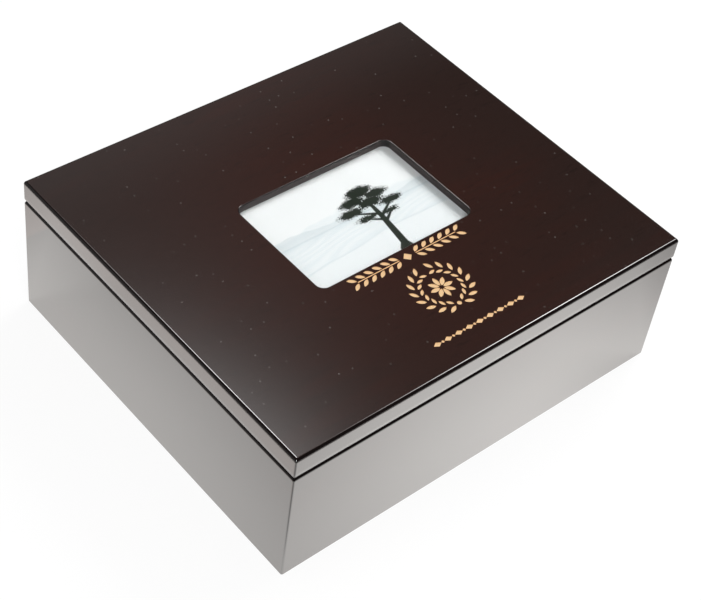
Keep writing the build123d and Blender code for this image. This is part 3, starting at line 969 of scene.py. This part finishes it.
def studio_camera(given):
    """Camera at the viewing angle, turned about its own axis by the roll."""
    lens = bpy.data.cameras.new("camera")
    lens.lens = given.lens
    lens.sensor_width = 36
    lens.clip_start = 0.01
    camera = bpy.data.objects.new("camera", lens)
    forward = Vector(given.camera_forward)
    turn = Quaternion(forward, given.camera_roll) @ forward.to_track_quat("-Z", "Y")
    camera.rotation_mode = "QUATERNION"
    camera.rotation_quaternion = turn
    camera.location = given.camera_at
    bpy.context.scene.collection.objects.link(camera)
    bpy.context.scene.camera = camera


# ------------------------------------------------------------------ operators
class KEEPSAKE_OT_studio(bpy.types.Operator):
    """Set up the floor, the lamps, the surroundings and the camera"""

    bl_idname = "keepsake.studio"
    bl_label = "Studio"

    def execute(self, context):
        given = context.scene.keepsake_studio
        studio_floor(given)
        studio_world(given)
        lamp("key_lamp", (1.25, 0.25, 1.35), given.key, size=1.0, through_glass=True)
        lamp("fill_lamp", (-0.75, -0.85, 1.5), given.fill, size=1.2, through_glass=False)
        studio_camera(given)
        context.scene.view_settings.view_transform = "Standard"
        return {"FINISHED"}


class KEEPSAKE_OT_wood(bpy.types.Operator):
    """Stain and lacquer the walls, the rails, the lid panel and the pocket strips"""

    bl_idname = "keepsake.wood"
    bl_label = "Lacquered Wood"

    def execute(self, context):
        along_x = lacquer("lacquer_along_x", along=0)
        along_y = lacquer("lacquer_along_y", along=1)
        for part in ("case", "lid_rail", "pocket_strip"):
            finish_nodes(along_x, f"{part}_front", f"{part}_back")
            finish_nodes(along_y, f"{part}_left", f"{part}_right")
        finish_nodes(lacquer("engraved_lacquer", along=0, engraved=True), "lid_panel")
        return {"FINISHED"}


class KEEPSAKE_OT_linings(bpy.types.Operator):
    """Upholster the boards inside the case and the lid with velvet"""

    bl_idname = "keepsake.linings"
    bl_label = "Velvet Linings"

    def execute(self, context):
        cloth = velvet()
        for side, towards in INWARD.items():
            velvet_board(f"lining_{side}", towards, cloth)
        velvet_board("lining_floor", 1, cloth)
        lid_velvet(cloth)
        return {"FINISHED"}


class KEEPSAKE_OT_print(bpy.types.Operator):
    """Lay the print in the pocket and glaze it"""

    bl_idname = "keepsake.print"
    bl_label = "Print and Glass"

    def execute(self, context):
        print_sheet(print_paper())
        finish_nodes(pane_glass(), "photo_glass")
        return {"FINISHED"}


class KEEPSAKE_OT_brass(bpy.types.Operator):
    """Finish the hinges, the turn buttons and all screws in brass"""

    bl_idname = "keepsake.brass"
    bl_label = "Brass Fittings"

    def execute(self, context):
        fittings = [name for name in nodes if name.startswith(("hinge_", "turn_button_"))]
        finish_nodes(brass(), *fittings)
        return {"FINISHED"}


class KEEPSAKE_OT_base(bpy.types.Operator):
    """Finish the boards, the base felt and the lid bumpers"""

    bl_idname = "keepsake.base"
    bl_label = "Boards, Felt and Bumpers"

    def execute(self, context):
        finish_nodes(fibre_board(), "case_bottom", "backing_board")
        finish_nodes(felt(), "base_felt")
        finish_nodes(bumper_rubber(), "lid_bumpers")
        return {"FINISHED"}


OPERATORS = (
    KEEPSAKE_OT_studio,
    KEEPSAKE_OT_wood,
    KEEPSAKE_OT_linings,
    KEEPSAKE_OT_print,
    KEEPSAKE_OT_brass,
    KEEPSAKE_OT_base,
)
SETTINGS = {
    "keepsake_studio": StudioSettings,
    "keepsake_lacquer": LacquerSettings,
    "keepsake_lining": LiningSettings,
    "keepsake_print": PrintSettings,
    "keepsake_fittings": FittingSettings,
}


class KEEPSAKE_PT_panel(bpy.types.Panel):
    """Settings and steps of the keepsake box"""

    bl_label = "Keepsake Box"
    bl_idname = "KEEPSAKE_PT_panel"
    bl_space_type = "VIEW_3D"
    bl_region_type = "UI"
    bl_category = "Keepsake"

    def draw(self, context):
        for operator in OPERATORS:
            self.layout.operator(operator.bl_idname)
        for name, group in SETTINGS.items():
            box = self.layout.box()
            box.label(text=group.__doc__)
            for setting in group.__annotations__:
                box.prop(getattr(context.scene, name), setting)


def register():
    """Register the settings, the operators and the panel."""
    for made in (*SETTINGS.values(), *OPERATORS, KEEPSAKE_PT_panel):
        bpy.utils.register_class(made)
    for name, group in SETTINGS.items():
        setattr(bpy.types.Scene, name, PointerProperty(type=group))


def unregister():
    """Take the panel, the operators and the settings out again."""
    for name in SETTINGS:
        delattr(bpy.types.Scene, name)
    for made in (KEEPSAKE_PT_panel, *reversed(OPERATORS), *reversed(SETTINGS.values())):
        bpy.utils.unregister_class(made)


def main():
    """Dress the part and set up the studio."""
    register()
    bpy.ops.keepsake.studio()
    bpy.ops.keepsake.wood()
    bpy.ops.keepsake.linings()
    bpy.ops.keepsake.print()
    bpy.ops.keepsake.brass()
    bpy.ops.keepsake.base()


if __name__ == "__main__":
    main()
